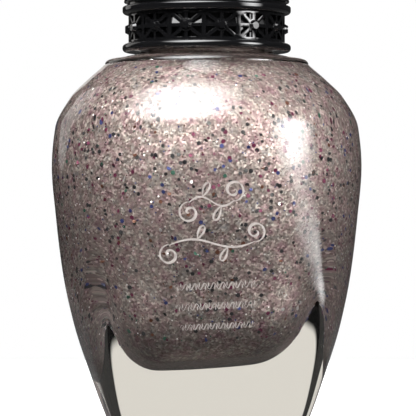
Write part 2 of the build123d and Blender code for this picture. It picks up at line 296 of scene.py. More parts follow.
def outer_rings():
    """From the roof of the recess in the base, round its rim and up the outside to the collar."""
    rows = [ring(RECESS_HEIGHT, r) for r in (1.0, 3.0, 5.0, 5.8)]
    rows += [ring(z, r) for r, z in RECESS_EDGE]
    for tilt in span(0, 90, 8):
        z = FOOT_EDGE * (1 - math.cos(math.radians(tilt)))
        inset = FOOT_EDGE * (1 - math.sin(math.radians(tilt)))
        rows.append(squircle(z, body_at, -inset))
    heights = span(1.4, 30.0, 60) + span(30.4, 42.2, 46)
    rows += [squircle(z, body_at) for z in heights]
    return rows


def cavity_rings(grow):
    """From the top of the cavity down to its floor, all of it moved out into the glass by grow."""
    floor_z, top_z = CAVITY_SECTIONS[0][0], CAVITY_SECTIONS[-1][0]
    rows = [squircle(z, cavity_at, grow) for z in span(top_z, floor_z + FLOOR_EDGE, 80)]
    for tilt in span(8, 90, 9):
        down = FLOOR_EDGE * math.sin(math.radians(tilt))
        inset = FLOOR_EDGE * (1 - math.cos(math.radians(tilt)))
        z = floor_z + FLOOR_EDGE - down
        rows.append(squircle(z - grow * down / FLOOR_EDGE, cavity_at, grow - inset, z))
    half = cavity_at[0](floor_z) - FLOOR_EDGE
    rows += [squircle(floor_z - grow, cavity_at, grow - FLOOR_EDGE - half * k, floor_z) for k in (0.25, 0.5)]
    rows += [ring(floor_z - grow, half * k) for k in (0.3, 0.12)]
    return [sloped(row) for row in rows]


def shoulder_rings(grow):
    """Under the shoulder, which lies at about 45 degrees, moved out into the glass by grow."""
    return [ring(z + 0.7 * grow, r + 0.7 * grow) for r, z in SHOULDER]


def make_glass():
    """Thick-walled bottle with a threaded neck, in one closed skin."""
    rows = outer_rings() + neck_rings() + shoulder_rings(0.0) + cavity_rings(0.0)
    foot, floor = (0, 0, RECESS_HEIGHT * MM), (0, 0, CAVITY_SECTIONS[0][0] * MM)
    glass = skin("glass_bottle_look", rows, start=foot, end=floor)
    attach(glass, "bottle")
    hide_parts("glass_bottle")
    glass.data.materials.append(glass_material())
    glass.visible_shadow = False


def make_lacquer():
    """The lacquer, its skin just inside the wall of the glass, with a shallow meniscus on top."""
    bore = NECK_BORE + INTO_GLASS
    rows = [ring(FILL_Z + rise, r) for r, rise in MENISCUS + [(bore, 0.7), (bore, -0.2)]]
    rows += shoulder_rings(INTO_GLASS) + cavity_rings(INTO_GLASS)
    surface, floor = (0, 0, FILL_Z * MM), (0, 0, (CAVITY_SECTIONS[0][0] - INTO_GLASS) * MM)
    lacquer = skin("lacquer_look", rows, start=surface, end=floor)
    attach(lacquer, "bottle")
    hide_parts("lacquer")
    lacquer.data.materials.append(lacquer_material())


# ---- glitter in the lacquer --------------------------------------------------------------------
FLAKE_METAL = 0.4  # metallic share of the coloured flakes
# Name, colour, metallic share, how many large flakes, how many fine ones.
GLITTER = [
    ("black", (0.004, 0.004, 0.006), 0.0, 760, 300),
    ("magenta", (0.075, 0.007, 0.03), FLAKE_METAL, 300, 620),
    ("blue", (0.014, 0.02, 0.09), FLAKE_METAL, 170, 330),
    ("copper", (0.07, 0.022, 0.010), FLAKE_METAL, 130, 400),
    ("green", (0.012, 0.06, 0.04), FLAKE_METAL, 40, 200),
    ("silver", (0.75, 0.72, 0.74), 1.0, 10, 500),
]
LARGE_FLAKE = (0.16, 0.25)  # radius of a large flake, smallest and largest
FINE_FLAKE = (0.065, 0.10)
FLAKE_SIDES = 6
FLAKE_THICKNESS = 0.02
FLAKE_LIFT = 0.035  # from the lacquer's skin to the middle of a flake
FLAKE_TILT = 0.21  # spread of each part of what is added to a flake's unit normal


def cavity_point(angle, z, grow):
    """A point on the wall of the cavity moved outwards by grow, in millimetres."""
    half, side, corner = (curve(z) for curve in cavity_at)
    reach = polar_radius(half + grow, side + grow, corner + grow, angle)
    point = (reach * math.cos(angle) * MM, reach * math.sin(angle) * MM, z * MM)
    return Vector(sloped([point])[0]) / MM


def add_flake(mesh, centre, normal, radius, spin):
    """A thin hexagonal plate lying across normal."""
    across = normal.orthogonal().normalized()
    along = normal.cross(across)
    rims = []
    for side in (-0.5, 0.5):
        rim = []
        for k in range(FLAKE_SIDES):
            turn = spin + k * 2 * math.pi / FLAKE_SIDES
            place = centre + radius * (math.cos(turn) * across + math.sin(turn) * along)
            rim.append(mesh.verts.new((place + normal * side * FLAKE_THICKNESS) * MM))
        rims.append(rim)
    mesh.faces.new(rims[0][::-1])
    mesh.faces.new(rims[1])
    for k in range(FLAKE_SIDES):
        j = (k + 1) % FLAKE_SIDES
        mesh.faces.new((rims[0][k], rims[0][j], rims[1][j], rims[1][k]))


def make_glitter():
    """Hexagonal flakes of six colours, resting against the inside of the glass."""
    dice = random.Random(20)
    low_z, high_z = CAVITY_SECTIONS[0][0] + FLOOR_EDGE, CAVITY_SECTIONS[-1][0]
    widest = max(row[1] for row in CAVITY_SECTIONS)
    for name, colour, metal, large, fine in GLITTER:
        mesh = bmesh.new()
        for number in range(large + fine):
            while True:
                angle, z = dice.uniform(0, 2 * math.pi), dice.uniform(low_z, high_z)
                if dice.random() < cavity_at[0](z) / widest:
                    break
            low_size, high_size = LARGE_FLAKE if number < large else FINE_FLAKE
            radius = dice.uniform(low_size, high_size)
            grow = INTO_GLASS + FLAKE_LIFT
            here = cavity_point(angle, z, grow)
            beside, above = cavity_point(angle + 0.01, z, grow), cavity_point(angle, z + 0.1, grow)
            normal = (beside - here).cross(above - here)
            normal.normalize()
            lean = Vector([dice.gauss(0, FLAKE_TILT) for _ in range(3)])
            add_flake(mesh, here, (normal + lean).normalized(), radius, dice.uniform(0, math.pi))
        flakes = finish_mesh("glitter_" + name, mesh)
        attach(flakes, "bottle")
        flakes.data.materials.append(flake_material(name, colour, metal))


# ---- print on the front ------------------------------------------------------------------------
PRINT_CENTRE_Z = 22.0
PRINT_TILT = math.radians(2.8)
PRINT_DEPTH = 0.01
PRINT_STAND = 0.02
PEN_ANGLE = math.radians(-35)
PEN_WIDTH = 0.31
LEAF_PEN, BORDER_PEN, BAR_PEN = 0.7 * PEN_WIDTH, 0.4 * PEN_WIDTH, 0.45 * PEN_WIDTH
# Middle, height, half width, and last the radius of a scroll's curls or the height of a border's waves.
SCROLLS = [(0.1, 27.5, 3.4, 1.05), (0.0, 23.2, 5.5, 1.0)]
BORDERS = [(0.2, 18.8, 4.3, 0.62), (0.2, 16.7, 4.2, 0.62), (0.2, 14.6, 3.9, 0.55)]
BORDER_WAVES = 9
WAVE_STEPS = 80  # points to a wave of a border
CURL_EYE = 0.08  # radius where a curl ends


def on_front(u, z, lift):
    """A point of the printed front, u to the right of its middle and lifted off the glass.

    The print as a whole leans a little.
    """
    up = z - PRINT_CENTRE_Z
    x = u * math.cos(PRINT_TILT) - up * math.sin(PRINT_TILT)
    z = PRINT_CENTRE_Z + u * math.sin(PRINT_TILT) + up * math.cos(PRINT_TILT)
    half, side = body_at[0](z), body_at[1](z)
    return (x * MM, -(math.sqrt(side**2 - x**2) - side + half + lift) * MM, z * MM)


def stroke(mesh, path, pen=PEN_WIDTH):
    """A pen stroke in enamel along (u, z) points, broad or fine with its direction, finer at its ends."""
    rows = []
    last = len(path) - 1
    for i, (u, z) in enumerate(path):
        before, after = path[max(i - 1, 0)], path[min(i + 1, last)]
        heading = math.atan2(after[1] - before[1], after[0] - before[0])
        ends = min(1.0, 0.25 + 3.0 * min(i, last - i) / last)
        half = pen * ends * (0.4 + 0.6 * abs(math.sin(heading - PEN_ANGLE))) / 2
        du, dz = -math.sin(heading) * half, math.cos(heading) * half
        corners = ((1, -PRINT_DEPTH), (1, PRINT_STAND), (-1, PRINT_STAND), (-1, -PRINT_DEPTH))
        rows.append([mesh.verts.new(on_front(u + du * k, z + dz * k, lift)) for k, lift in corners])
    for row, following in zip(rows, rows[1:]):
        for k in range(4):
            j = (k + 1) % 4
            mesh.faces.new((row[k], row[j], following[j], following[k]))
    mesh.faces.new(rows[0][::-1])
    mesh.faces.new(rows[-1])


def curl(u, z, radius, start, turns):
    """A spiral that winds in to (u, z), anticlockwise from the angle start, in degrees."""
    points = []
    for k in span(0, 1, 44):
        angle = math.radians(start) + 2 * math.pi * turns * k
        reach = radius * (1 - k) ** 0.7 + CURL_EYE
        points.append((u + reach * math.cos(angle), z + reach * math.sin(angle)))
    return points


def wave(start, end, z, rise, waves, steps=60):
    """A wavy line between two places across the front."""
    turn = 2 * math.pi * waves / (end - start)
    return [(u, z + rise * math.sin(turn * (u - start))) for u in span(start, end, steps)]


def leaf(u, z, length, angle):
    """A pointed leaf as a bowed closed outline from its foot at (u, z)."""
    c, s = math.cos(math.radians(angle)), math.sin(math.radians(angle))
    points = []
    for k in span(0, 2 * math.pi, 28):
        along = length * (1 - math.cos(k)) / 2
        across = 0.24 * length * math.sin(k) * math.sin(k / 2)
        points.append((u + along * c - across * s, z + along * s + across * c))
    return points


def flourish(mesh, centre_u, centre_z, half, radius):
    """A scroll that curls down at its left end and up at its right, with two leaves on its stem."""
    left, right = centre_u - half + radius, centre_u + half - radius
    stroke(mesh, wave(left, right, centre_z, 0.5 * radius, 1.0))
    stroke(mesh, curl(left, centre_z - radius, radius, 90, 1.35))
    stroke(mesh, curl(right, centre_z + radius, radius, -90, 1.35))
    stroke(mesh, leaf(centre_u - 0.28 * half, centre_z + 0.5 * radius, 1.5 * radius, 62), LEAF_PEN)
    stroke(mesh, leaf(centre_u + 0.28 * half, centre_z - 0.5 * radius, 1.5 * radius, -118), LEAF_PEN)


def border(mesh, centre_u, z, half, height):
    """A fine border: a wavy line with a short bar in each of its hollows."""
    line = wave(centre_u - half, centre_u + half, z, 0.5 * height, BORDER_WAVES, WAVE_STEPS * BORDER_WAVES)
    stroke(mesh, line, BORDER_PEN)
    for k in range(2 * BORDER_WAVES):
        u = centre_u - half + (k + 0.5) * half / BORDER_WAVES
        side = -1 if k % 2 == 0 else 1
        bar = [(u - 0.07 * side, z + side * 0.5 * height * t) for t in (-0.3, 0.25, 0.8, 1.3)]
        stroke(mesh, bar, BAR_PEN)


def make_print():
    """Two scrolls and three fine borders, screen printed on the front in cream enamel."""
    mesh = bmesh.new()
    for scroll in SCROLLS:
        flourish(mesh, *scroll)
    for row in BORDERS:
        border(mesh, *row)
    print_piece = finish_mesh("front_print", mesh)
    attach(print_piece, "bottle")
    print_piece.data.materials.append(enamel_material())


# ---- cap ---------------------------------------------------------------------------------------
ARC_STEPS = 6
FLAT_SUPPORT = 0.12  # at most this far past an arc lies the point that keeps a flat flat
WELD_REACH = 0.002
COLLAR_BEVEL = 0.06


def rounded(corners):
    """An outline from (radius, height, rounding) corners, each rounded by an arc.

    A point just past each end of an arc keeps the flats flat under smooth shading.
    """
    points = []
    count = len(corners)
    for i, (x, y, rounding) in enumerate(corners):
        here = Vector((x, y))
        before = Vector(corners[i - 1][:2]) - here
        after = Vector(corners[(i + 1) % count][:2]) - here
        if rounding == 0:
            points.append((x, y))
            continue
        half_angle = before.angle(after) / 2
        reach = min(rounding / math.tan(half_angle), 0.45 * before.length, 0.45 * after.length)
        radius = reach * math.tan(half_angle)
        bisector = (before.normalized() + after.normalized()).normalized()
        middle = here + bisector * radius / math.sin(half_angle)
        first, last = here + before.normalized() * reach, here + after.normalized() * reach
        start = math.atan2(first.y - middle.y, first.x - middle.x)
        sweep = math.atan2(last.y - middle.y, last.x - middle.x) - start
        sweep = (sweep + math.pi) % (2 * math.pi) - math.pi
        support = min(FLAT_SUPPORT, 0.04 * before.length, 0.04 * after.length)
        points.append(tuple(first + before.normalized() * support))
        for t in span(start, start + sweep, ARC_STEPS):
            points.append((middle.x + radius * math.cos(t), middle.y + radius * math.sin(t)))
        points.append(tuple(last + after.normalized() * support))
    return points


def lathe(name, outline, node, material):
    """A solid of revolution through a closed (radius, height) outline, in place of a CAD node of the cap."""
    piece = skin(name, [ring(z, r) for r, z in outline], looped=True)
    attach(piece, "cap")
    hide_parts(node)
    piece.data.materials.append(material)


def make_core(black):
    """The core tube with the cap's bottom ring."""
    outline = rounded(
        [
            (CORE_BORE, CAP_BOTTOM_Z, 0.1),
            (RING_RADIUS, CAP_BOTTOM_Z, RING_EDGE),
            (RING_RADIUS, BAND_BOTTOM_Z, RING_EDGE),
            (CORE_RADIUS, BAND_BOTTOM_Z, 0.08),
            (CORE_RADIUS, CORE_TOP_Z, 0.15),
            (CORE_BORE, CORE_TOP_Z, 0.1),
        ]
    )
    lathe("cap_core_look", outline, "cap_core", black)


def make_sleeve(black):
    """The waisted shaft between a ring and a groove at each end."""
    inner = CORE_RADIUS + FIT_GAP
    foot_z, head_z = BAND_TOP_Z + RING_HEIGHT, SLEEVE_TOP_Z - RING_HEIGHT
    low_z, high_z = foot_z + GROOVE_HEIGHT, head_z - GROOVE_HEIGHT
    waist = []
    for t in span(-1, 1, 26)[1:-1]:
        edge = SLEEVE_HEAD_RADIUS if t > 0 else SLEEVE_FOOT_RADIUS
        z = (low_z + high_z) / 2 + t * (high_z - low_z) / 2
        waist.append((SLEEVE_WAIST_RADIUS + (edge - SLEEVE_WAIST_RADIUS) * t * t, z, 0))
    outline = rounded(
        [
            (inner, BAND_TOP_Z, 0.05),
            (RING_RADIUS, BAND_TOP_Z, RING_EDGE),
            (RING_RADIUS, foot_z, RING_EDGE),
            (GROOVE_RADIUS, foot_z, 0.1),
            (GROOVE_RADIUS, low_z, 0.1),
            (SLEEVE_FOOT_RADIUS, low_z, 0.14),
            *waist,
            (SLEEVE_HEAD_RADIUS, high_z, 0.14),
            (GROOVE_RADIUS, high_z, 0.06),
            (GROOVE_RADIUS, head_z, 0.1),
            (RING_RADIUS, head_z, RING_EDGE),
            (RING_RADIUS, SLEEVE_TOP_Z, RING_EDGE),
            (SLEEVE_BORE, SLEEVE_TOP_Z, 0.05),
            (SLEEVE_BORE, CORE_TOP_Z + FIT_GAP, 0.1),
            (inner, CORE_TOP_Z + FIT_GAP, 0.1),
        ]
    )
    lathe("shaft_sleeve_look", outline, "shaft_sleeve", black)


def finish_star_collars(black):
    """Softens the edges of the two CAD collars and gives them the cap's plastic."""
    for name in ("lower_star_collar", "upper_star_collar"):
        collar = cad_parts[name]
        weld = collar.modifiers.new("weld", "WELD")
        weld.merge_threshold = WELD_REACH * MM
        bevel = collar.modifiers.new("soft_edges", "BEVEL")
        bevel.width = COLLAR_BEVEL * MM
        bevel.segments = 2
        bevel.limit_method = "ANGLE"
        bevel.angle_limit = SHARP_ANGLE
        for slot in collar.material_slots:
            slot.material = black


def make_crown(black):
    """Dome with a small button on top, and the tenon that holds it in the sleeve."""
    ring_top = UPPER_BAND_TOP_Z + RING_HEIGHT
    dome_z = ring_top + DOME_STEP
    rise = CAP_TOP_Z - BUTTON_HEIGHT - dome_z
    sphere = (DOME_RADIUS**2 + rise**2) / (2 * rise)
    edge = math.degrees(math.asin(DOME_RADIUS / sphere))
    button = math.degrees(math.asin(BUTTON_RADIUS / sphere))
    tenon, hollow = SLEEVE_BORE - FIT_GAP, SLEEVE_BORE - FIT_GAP - CROWN_WALL
    tenon_z = SLEEVE_TOP_Z - CROWN_TENON_LENGTH
    side = rounded(
        [
            (hollow, tenon_z, 0.1),
            (tenon, tenon_z, 0.2),
            (tenon, SLEEVE_TOP_Z, 0.03),
            (CORE_RADIUS, SLEEVE_TOP_Z, 0.05),
            (CORE_RADIUS, UPPER_BAND_TOP_Z, 0.08),
            (RING_RADIUS, UPPER_BAND_TOP_Z, RING_EDGE),
            (RING_RADIUS, ring_top, RING_EDGE),
            (GROOVE_RADIUS, ring_top, 0.1),
            (GROOVE_RADIUS, dome_z, 0.05),
        ]
    )
    top = arc(0, dome_z + rise - sphere, sphere, 90 - edge, 90 - button, 26)
    top += arc(BUTTON_RADIUS - BUTTON_EDGE, CAP_TOP_Z - BUTTON_EDGE, BUTTON_EDGE, 0, 90, 6)
    top += [(BUTTON_RADIUS * k, CAP_TOP_Z) for k in (0.85, 0.5, 0.2)]
    ceiling = [(hollow * k, UPPER_BAND_TOP_Z) for k in (0.2, 0.6, 0.95)] + [(hollow, UPPER_BAND_TOP_Z - 0.3)]
    rows = [ring(z, r) for r, z in ceiling + side + top]
    crown = skin("crown_look", rows, start=(0, 0, UPPER_BAND_TOP_Z * MM), end=(0, 0, CAP_TOP_Z * MM))
    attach(crown, "cap")
    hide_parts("crown")
    crown.data.materials.append(black)


def make_cap():
    """Glossy black core, sleeve, crown and star collars."""
    black = black_plastic()
    make_core(black)
    make_sleeve(black)
    make_crown(black)
    finish_star_collars(black)


# ---- brush and small parts ---------------------------------------------------------------------
STEM_TIP_Z = 27.0
TUFT_ROOT_RADIUS = 1.2
TUFT_SOCKET_DEPTH = 3.6
TUFT_BELLY_RADIUS = 1.75
TUFT_BELLY_Z = 17.5
TUFT_TIP_Z = 14.0
TUFT_DOME = 2.4  # how much shorter the outermost filaments are
FILAMENTS = 300
FILAMENT_RADIUS = 0.055
FILAMENT_TIP = 0.55  # share of that radius at the tip
FILAMENT_INSET = 0.08  # from the tuft's surface to the middle of the outermost filaments
FILAMENT_SIDES = 5


def make_brush():
    """Nylon filaments that leave the stem's bore and swell towards a rounded tip."""
    dice = random.Random(7)
    mesh = bmesh.new()
    golden = math.pi * (3 - math.sqrt(5))
    top_z = STEM_TIP_Z + 0.5 * TUFT_SOCKET_DEPTH
    for number in range(FILAMENTS):
        share = math.sqrt((number + 0.5) / FILAMENTS)
        angle = golden * number
        end_z = TUFT_TIP_Z + TUFT_DOME * share**2.2 + dice.uniform(0, 0.25)
        root = (TUFT_ROOT_RADIUS - FILAMENT_INSET) * share
        belly = (TUFT_BELLY_RADIUS - FILAMENT_INSET) * share * dice.uniform(0.94, 1.0)
        tip = 0.75 * belly
        lean = dice.uniform(-0.25, 0.25)
        rows = []
        for z in span(top_z, end_z, 12):
            if z > STEM_TIP_Z:
                reach = root
            elif z > TUFT_BELLY_Z:
                t = (STEM_TIP_Z - z) / (STEM_TIP_Z - TUFT_BELLY_Z)
                reach = root + (belly - root) * t * t * (3 - 2 * t)
            else:
                t = (TUFT_BELLY_Z - z) / (TUFT_BELLY_Z - TUFT_TIP_Z)
                reach = belly + (tip - belly) * t * t
            turn = angle + lean * (STEM_TIP_Z - z) / 20
            x, y = reach * math.cos(turn), reach * math.sin(turn)
            thin = FILAMENT_RADIUS * (FILAMENT_TIP if z == end_z else 1.0)
            row = []
            for k in range(FILAMENT_SIDES):
                a = 2 * math.pi * k / FILAMENT_SIDES
                point = ((x + thin * math.cos(a)) * MM, (y + thin * math.sin(a)) * MM, z * MM)
                row.append(mesh.verts.new(point))
            rows.append(row)
        for row, following in zip(rows, rows[1:]):
            for k in range(FILAMENT_SIDES):
                j = (k + 1) % FILAMENT_SIDES
                mesh.faces.new((row[k], row[j], following[j], following[k]))
        mesh.faces.new(rows[0][::-1])
        mesh.faces.new(rows[-1])
    tuft = finish_mesh("bristle_filaments", mesh)
    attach(tuft, "brush")
    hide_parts("bristle_tuft")
    tuft.data.materials.append(bristle_material())


def finish_small_parts():
    """Materials for the CAD nodes that are shown as they are, apart from the star collars."""
    looks = {
        "inner_cap": satin_plastic("inner_plastic", (0.02, 0.02, 0.021), 0.42),
        "cap_liner": satin_plastic("liner_plastic", (0.72, 0.72, 0.69), 0.5),
        "brush_stem": satin_plastic("stem_plastic", (0.025, 0.025, 0.027), 0.33),
        "mixing_balls": steel_material("ball_steel", 0.12),
        "bristle_staple": steel_material("staple_metal", 0.3),
        "base_label": label_material(),
    }
    for name, material in looks.items():
        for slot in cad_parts[name].material_slots:
            slot.material = material


# ---- materials ---------------------------------------------------------------------------------
class Look:
    """A material with one Principled shader, and short calls to add nodes to it."""

    def __init__(self, name, **values):
        self.material = bpy.data.materials.new(name)
        self.material.use_nodes = True
        self.tree = self.material.node_tree
        self.shader = self.tree.nodes["Principled BSDF"]
        for key, value in values.items():
            self.shader.inputs[key.replace("_", " ")].default_value = value

    def add(self, kind, **settings):
        """A new node. Settings that name an input socket set it, and the others set the node itself."""
        made = self.tree.nodes.new("ShaderNode" + kind)
        for key, value in settings.items():
            if hasattr(made, key):
                setattr(made, key, value)
            else:
                made.inputs[key.replace("_", " ")].default_value = value
        return made

    def link(self, source, target):
        self.tree.links.new(source, target)

    def into(self, source, socket):
        self.tree.links.new(source, self.shader.inputs[socket])

    def place(self):
        """The point on the object, in metres."""
        return self.add("TexCoord").outputs["Object"]

    def ramp(self, source, stops, mode="LINEAR"):
        """A colour ramp with (position, colour) stops."""
        made = self.add("ValToRGB")
        made.color_ramp.interpolation = mode
        while len(made.color_ramp.elements) < len(stops):
            made.color_ramp.elements.new(0.5)
        for element, (position, colour) in zip(made.color_ramp.elements, stops):
            element.position = position
            element.color = (*colour, 1)
        self.link(source, made.inputs["Fac"])
        return made.outputs["Color"]

    def noise(self, scale, detail=2.0, roughness=0.5):
        made = self.add("TexNoise")
        made.inputs["Scale"].default_value = scale
        made.inputs["Detail"].default_value = detail
        made.inputs["Roughness"].default_value = roughness
        self.link(self.place(), made.inputs["Vector"])
        return made.outputs["Fac"]

    def bump(self, height, strength, distance):
        made = self.add("Bump")
        made.inputs["Strength"].default_value = strength
        made.inputs["Distance"].default_value = distance
        self.link(height, made.inputs["Height"])
        self.into(made.outputs["Normal"], "Normal")

    def multiply(self, first, second):
        """The product of two colours."""
        made = self.add("Mix", data_type="RGBA", blend_type="MULTIPLY")
        made.inputs["Factor"].default_value = 1.0
        self.link(first, made.inputs["A"])
        self.link(second, made.inputs["B"])
        return made.outputs["Result"]


def glass_material():
    """Clear glass with a faint warm tint, slightly uneven as pressed glass is."""
    look = Look("clear_glass", Base_Color=(0.91, 0.885, 0.82, 1), Roughness=0.0, IOR=1.5)
    look.shader.inputs["Transmission Weight"].default_value = 1.0
    look.bump(look.noise(180.0, 1.0), 0.04, 0.0003)
    return look.material


GRAIN_SCALE = 5000.0  # about this many grains of shimmer to a metre
GRAIN_TILT = 0.2  # how far the grains lean from the skin
GRAIN = [
    (0.0, (0.16, 0.126, 0.127)),
    (0.4, (0.245, 0.199, 0.199)),
    (0.8, (0.34, 0.286, 0.282)),
    (1.0, (0.52, 0.46, 0.447)),
]
PATCHES = [
    (0.3, (0.72, 0.50, 0.60)),
    (0.43, (1.0, 0.90, 0.90)),
    (0.57, (0.95, 1.0, 0.93)),
    (0.7, (0.68, 0.76, 0.80)),
]
# Painted shade: the lacquer's colour darkens from this height down to the cavity's floor.
PAINTED_SHADE_TOP_Z = 18.0
PAINTED_SHADE_AT_FLOOR = 0.6  # painted shade: brightness of the lacquer's colour at the cavity's floor, darker towards the bottom


def lacquer_material():
    """Silver-mauve shimmer: fine metallic grains that lean all ways, in faint patches, with painted shade
    darkening it towards the bottom.
    """
    look = Look("shimmer_lacquer", Metallic=0.85, Roughness=0.5, IOR=1.5)
    cells = look.add("TexVoronoi", feature="F1")
    cells.inputs["Scale"].default_value = GRAIN_SCALE
    look.link(look.place(), cells.inputs["Vector"])
    split = look.add("SeparateColor")
    look.link(cells.outputs["Color"], split.inputs["Color"])
    grain = look.ramp(split.outputs["Red"], GRAIN)
    patches = look.ramp(look.noise(900.0, 4.0, 0.7), PATCHES)
    shimmer = look.multiply(grain, patches)

    # Painted shade: the colour is darkened smoothly from the shade's top height down to the cavity's floor.
    height = look.add("SeparateXYZ")
    look.link(look.place(), height.inputs[0])
    painted_shade = look.add("MapRange")
    painted_shade.interpolation_type = "SMOOTHSTEP"
    painted_shade.inputs["From Min"].default_value = CAVITY_SECTIONS[0][0] * MM
    painted_shade.inputs["From Max"].default_value = PAINTED_SHADE_TOP_Z * MM
    painted_shade.inputs["To Min"].default_value = PAINTED_SHADE_AT_FLOOR
    look.link(height.outputs["Z"], painted_shade.inputs["Value"])
    shaded_shimmer = look.add("VectorMath", operation="SCALE")
    look.link(shimmer, shaded_shimmer.inputs[0])
    look.link(painted_shade.outputs["Result"], shaded_shimmer.inputs["Scale"])
    look.into(shaded_shimmer.outputs["Vector"], "Base Color")

    centred = look.add("VectorMath", operation="SUBTRACT")
    centred.inputs[1].default_value = (0.5, 0.5, 0.5)
    look.link(cells.outputs["Color"], centred.inputs[0])
    tilted = look.add("VectorMath", operation="SCALE")
    tilted.inputs["Scale"].default_value = GRAIN_TILT
    look.link(centred.outputs["Vector"], tilted.inputs[0])
    summed = look.add("VectorMath", operation="ADD")
    look.link(tilted.outputs["Vector"], summed.inputs[0])
    look.link(look.add("NewGeometry").outputs["Normal"], summed.inputs[1])
    unit = look.add("VectorMath", operation="NORMALIZE")
    look.link(summed.outputs["Vector"], unit.inputs[0])
    look.into(unit.outputs["Vector"], "Normal")
    return look.material


def black_plastic():
    """Glossy black moulding with a faint orange peel."""
    look = Look("cap_black", Base_Color=(0.004, 0.004, 0.0045, 1), Roughness=0.07, IOR=1.5)
    look.bump(look.noise(900.0, 2.0), 0.03, 0.0002)
    return look.material


def satin_plastic(name, colour, roughness):
    """Moulded plastic with a faint grain and slightly uneven gloss."""
    look = Look(name, Roughness=roughness, IOR=1.48)
    pale = [min(1.0, 1.25 * c + 0.004) for c in colour]
    look.into(look.ramp(look.noise(700.0, 4.0), [(0.35, colour), (0.7, pale)]), "Base Color")
    look.bump(look.noise(6000.0, 2.0), 0.12, 0.00004)
    return look.material


def steel_material(name, roughness):
    """Bright steel with fine wear marks."""
    look = Look(name, Metallic=1.0, Roughness=roughness)
    shades = [(0.3, (0.5, 0.5, 0.5)), (0.7, (0.66, 0.65, 0.64))]
    look.into(look.ramp(look.noise(1500.0, 5.0), shades), "Base Color")
    look.bump(look.noise(4000.0, 3.0), 0.08, 0.00003)
    return look.material


LABEL_RAMP = 10.0  # radius at which the label's colour ramp ends


def label_material():
    """White paper label with a printed dot, two printed rings and fine fibres."""
    look = Look("label_paper", Roughness=0.65)
    split = look.add("SeparateXYZ")
    look.link(look.place(), split.inputs[0])
    flat = look.add("CombineXYZ")
    look.link(split.outputs["X"], flat.inputs["X"])
    look.link(split.outputs["Y"], flat.inputs["Y"])
    reach = look.add("VectorMath", operation="LENGTH")
    look.link(flat.outputs[0], reach.inputs[0])
    scaled = look.add("Math", operation="MULTIPLY")
    scaled.inputs[1].default_value = 1 / (LABEL_RAMP * MM)
    look.link(reach.outputs["Value"], scaled.inputs[0])
    paper, ink = (0.82, 0.81, 0.78), (0.10, 0.09, 0.11)
    rings = [(0.0, ink), (0.08, paper), (0.44, ink), (0.47, paper), (0.50, ink), (0.515, paper)]
    printed = look.ramp(scaled.outputs[0], rings, "CONSTANT")
    fibres = look.ramp(look.noise(2500.0, 6.0, 0.7), [(0.3, (0.88, 0.88, 0.88)), (0.6, (1, 1, 1))])
    look.into(look.multiply(printed, fibres), "Base Color")
    look.bump(look.noise(3000.0, 5.0), 0.2, 0.00003)
    return look.material


def enamel_material():
    """Cream screen-print enamel, slightly patchy."""
    look = Look("print_enamel", Roughness=0.38, IOR=1.5)
    shades = [(0.3, (0.32, 0.28, 0.26)), (0.65, (0.50, 0.455, 0.43))]
    look.into(look.ramp(look.noise(2200.0, 4.0), shades), "Base Color")
    look.bump(look.noise(5000.0, 2.0), 0.1, 0.00002)
    return look.material


def flake_material(name, colour, metal):
    """Coloured foil, lighter and darker from flake to flake."""
    look = Look("glitter_" + name, Metallic=metal, Roughness=0.4)
    bright = [min(1.0, 1.5 * c + 0.01) for c in colour]
    look.into(look.ramp(look.noise(2600.0, 1.0), [(0.3, colour), (0.7, bright)]), "Base Color")
    return look.material


def bristle_material():
    """Dark nylon, coated with lacquer towards the tip."""
    look = Look("bristle_nylon", Roughness=0.35)
    split = look.add("SeparateXYZ")
    look.link(look.place(), split.inputs[0])
    height = look.add("MapRange")
    height.inputs["From Min"].default_value = TUFT_TIP_Z * MM
    height.inputs["From Max"].default_value = (STEM_TIP_Z + TUFT_SOCKET_DEPTH) * MM
    look.link(split.outputs["Z"], height.inputs["Value"])
    uneven = look.add("Math", operation="MULTIPLY_ADD")
    look.link(look.noise(900.0, 3.0), uneven.inputs[0])
    uneven.inputs[1].default_value = 0.35
    look.link(height.outputs["Result"], uneven.inputs[2])
    coat, nylon = (0.30, 0.245, 0.235), (0.03, 0.027, 0.025)
    look.into(look.ramp(uneven.outputs[0], [(0.45, coat), (0.95, nylon)]), "Base Color")
    look.bump(look.noise(5000.0, 2.0), 0.15, 0.00003)
    return look.material


# ---- studio, in metres -------------------------------------------------------------------------
TARGET = Vector((0, 0, 0.03))  # what the cards face
BACKDROP_TONE = (1.0, 0.98, 0.95)
# Name, azimuth and elevation in degrees, distance, width and height, strength, share that fades, colour.
CARDS = [
    ("backdrop_card", 180, 20, 0.4, (0.2, 0.3), 0.82, 0.15, BACKDROP_TONE),
    ("left_backdrop_card", 222, 20, 0.4, (0.2, 0.3), 0.82, 0.15, BACKDROP_TONE),
    ("key_softbox", -31, 58, 0.5, (0.76, 0.98), 18.5, 1.0, (1, 1, 1)),
    ("side_softbox", 62, 16, 0.45, (0.34, 0.42), 20, 1.0, (1, 1, 1)),
]
FLOOR_RADIUS = 0.3
FLOOR_POINTS = 96
THROUGH_GLASS = 0.8  # brightness of the pale surroundings where they are seen straight through the glass
SURROUNDINGS_SHADE = 0.035  # and their brightness as reflections and bounced light find them
FLOOR_SHADE = 0.05
PALE_FROM, PALE_TO = 0.45, 0.2  # over these values of a direction's Y the dark rear turns into the pale front


def math_node(tree, operation, *values, clamp=False):
    """The result of a Math node whose inputs are sockets or plain numbers."""
    made = tree.nodes.new("ShaderNodeMath")
    made.operation = operation
    made.use_clamp = clamp
    for socket, value in zip(made.inputs, values):
        if isinstance(value, (int, float)):
            socket.default_value = value
        else:
            tree.links.new(value, socket)
    return made.outputs[0]


